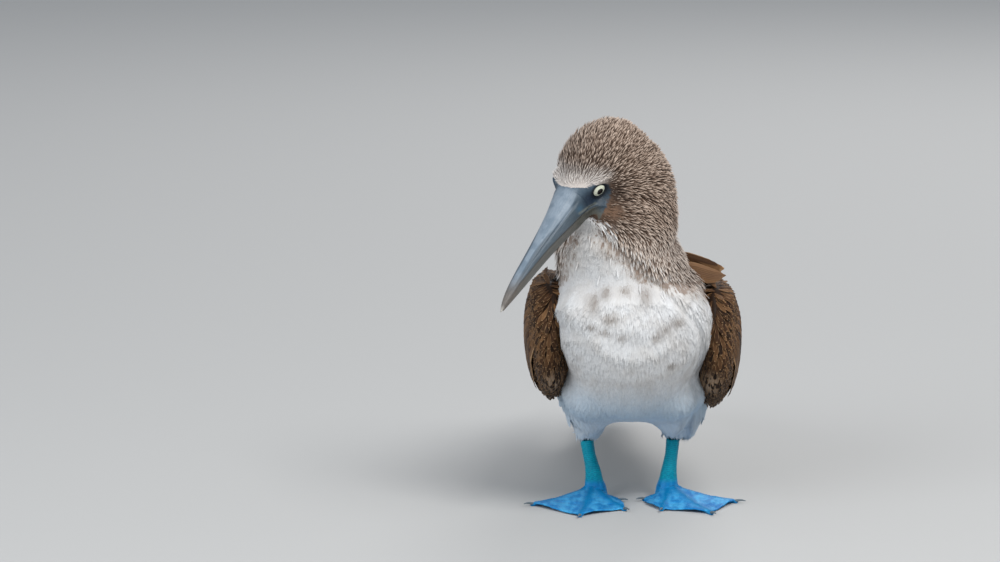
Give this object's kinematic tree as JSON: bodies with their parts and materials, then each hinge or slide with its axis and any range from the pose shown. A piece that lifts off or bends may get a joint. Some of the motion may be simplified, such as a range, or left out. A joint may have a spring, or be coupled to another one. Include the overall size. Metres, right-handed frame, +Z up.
{
  "type": "blue footed booby model",
  "caption": "Still life-size model of a blue-footed booby standing with its neck drawn in, its bill turned to its right and its webbed blue feet spread.",
  "frame": {"origin": "centre of the bounding box's bottom face, on the floor between the feet and the tail", "axes": "+Z up, -Y the way the trunk faces, +X the bird's left"},
  "size_m": [0.1784, 0.4898, 0.2892],
  "materials": {
    "neck_plumage": "soft brown plumage with pale streaks",
    "belly_plumage": "soft white plumage",
    "wing_plumage": "dark brown feathers with paler edges",
    "bill_horn": "satin blue-grey horn",
    "eye": "glossy pale yellow",
    "blue_skin": "satin turquoise-blue scaly skin",
    "claw_horn": "satin grey horn"
  },
  "bodies": {
    "root": {"head": "neck_plumage", "neck": "neck_plumage", "torso": "belly_plumage", "tail": "wing_plumage", "wing_left": "wing_plumage", "wing_right": "wing_plumage", "thigh_left": "belly_plumage", "thigh_right": "belly_plumage", "bill_upper": "bill_horn", "bill_lower": "bill_horn", "eye_left": "eye", "eye_right": "eye", "tarsus_left": "blue_skin", "tarsus_right": "blue_skin", "foot_left": "blue_skin", "foot_right": "blue_skin", "claw_left_outer": "claw_horn", "claw_left_middle": "claw_horn", "claw_left_inner": "claw_horn", "claw_left_hind": "claw_horn", "claw_right_outer": "claw_horn", "claw_right_middle": "claw_horn", "claw_right_inner": "claw_horn", "claw_right_hind": "claw_horn"}
  },
  "joints": []
}
